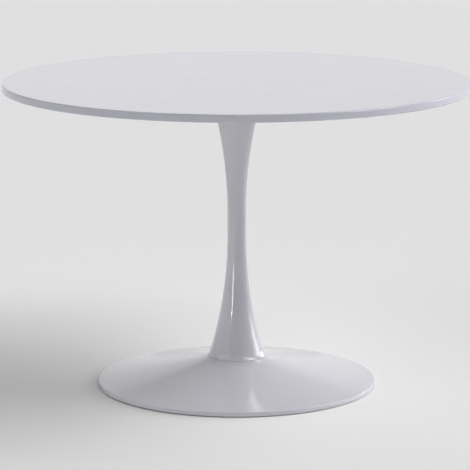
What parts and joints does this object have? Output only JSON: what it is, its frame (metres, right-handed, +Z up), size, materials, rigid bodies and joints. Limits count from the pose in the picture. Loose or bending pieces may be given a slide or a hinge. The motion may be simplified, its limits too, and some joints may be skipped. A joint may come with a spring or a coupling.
{
  "type": "round pedestal table",
  "caption": "Round pedestal table with a thin white lacquered top, an hourglass column and a wide trumpet base on levelling glides.",
  "frame": {"origin": "on the floor, under the middle of the column", "axes": "+Z up along the column's axis; +X and +Y level, with the first glide on +X"},
  "size_m": [1.1, 1.1, 0.73],
  "materials": {
    "white_lacquer": "gloss white lacquer on fibreboard",
    "white_enamel": "gloss white enamel on steel",
    "black_coated_steel": "satin black powder coat",
    "plain_steel": "turned, as machined",
    "zinc_steel": "bright zinc plate",
    "cast_iron_hub": "turned grey iron",
    "dark_gasket": "matt fibre sheet",
    "pad_rubber": "matt",
    "glide_plastic": "fine moulded grain"
  },
  "bodies": {
    "pedestal": {"table_top": "white_lacquer", "insert_nuts": "zinc_steel", "top_washers": "zinc_steel", "top_screws": "zinc_steel", "mounting_plate": "black_coated_steel", "head_bolts": "zinc_steel", "column": "white_enamel", "column_head_ring": "plain_steel", "column_foot_ring": "plain_steel", "seam_gasket": "dark_gasket", "base_shell": "white_enamel", "hub": "cast_iron_hub", "ballast_plate": "black_coated_steel", "base_bolts": "zinc_steel", "shell_pads": "pad_rubber"},
    "glide_1": {"glide_1_stem": "zinc_steel", "glide_1_foot": "glide_plastic"},
    "glide_2": {"glide_2_stem": "zinc_steel", "glide_2_foot": "glide_plastic"},
    "glide_3": {"glide_3_stem": "zinc_steel", "glide_3_foot": "glide_plastic"},
    "glide_4": {"glide_4_stem": "zinc_steel", "glide_4_foot": "glide_plastic"},
    "glide_5": {"glide_5_stem": "zinc_steel", "glide_5_foot": "glide_plastic"},
    "glide_6": {"glide_6_stem": "zinc_steel", "glide_6_foot": "glide_plastic"}
  },
  "joints": [
    {"name": "glide_1_screw", "type": "slide", "parent": "pedestal", "child": "glide_1", "axis": [0, 0, -1], "range_m": [0, 0.008]},
    {"name": "glide_2_screw", "type": "slide", "parent": "pedestal", "child": "glide_2", "axis": [0, 0, -1], "range_m": [0, 0.008]},
    {"name": "glide_3_screw", "type": "slide", "parent": "pedestal", "child": "glide_3", "axis": [0, 0, -1], "range_m": [0, 0.008]},
    {"name": "glide_4_screw", "type": "slide", "parent": "pedestal", "child": "glide_4", "axis": [0, 0, -1], "range_m": [0, 0.008]},
    {"name": "glide_5_screw", "type": "slide", "parent": "pedestal", "child": "glide_5", "axis": [0, 0, -1], "range_m": [0, 0.008]},
    {"name": "glide_6_screw", "type": "slide", "parent": "pedestal", "child": "glide_6", "axis": [0, 0, -1], "range_m": [0, 0.008]}
  ]
}
